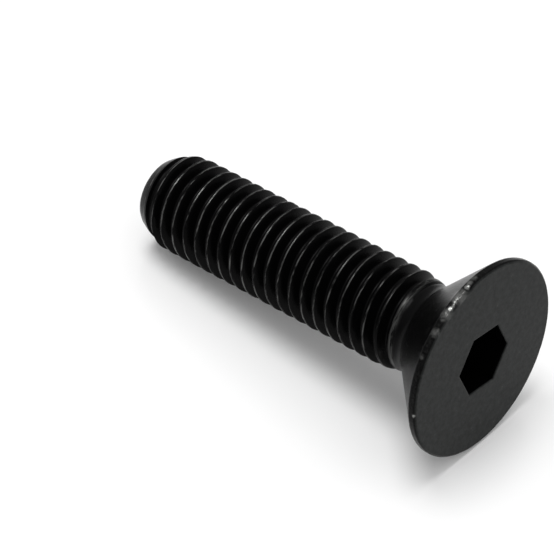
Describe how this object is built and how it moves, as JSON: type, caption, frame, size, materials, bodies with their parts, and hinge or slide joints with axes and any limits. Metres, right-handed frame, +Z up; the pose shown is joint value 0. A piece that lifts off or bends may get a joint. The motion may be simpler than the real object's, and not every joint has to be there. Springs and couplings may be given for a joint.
{
  "type": "countersunk socket screw",
  "caption": "Countersunk screw with a flat face, a conical seat, a hexagonal key socket, a short plain neck and a right-hand metric thread that runs to a chamfered tip.",
  "frame": {"origin": "on the surface that the screw lies on, under the middle of its bounding box", "axes": "+Z is up and +X runs along the lying screw from the tip towards the head; +Y is across it. The screw's own axis leans 7.77 degrees from X with the tip down, because the screw rests on its head's rim and on the thread near the tip"},
  "size_m": [0.0414, 0.0196, 0.0196],
  "materials": {
    "black_steel": "alloy steel with a satin black oxide finish"
  },
  "bodies": {
    "root": {"countersunk_socket_screw": "black_steel"}
  },
  "joints": []
}
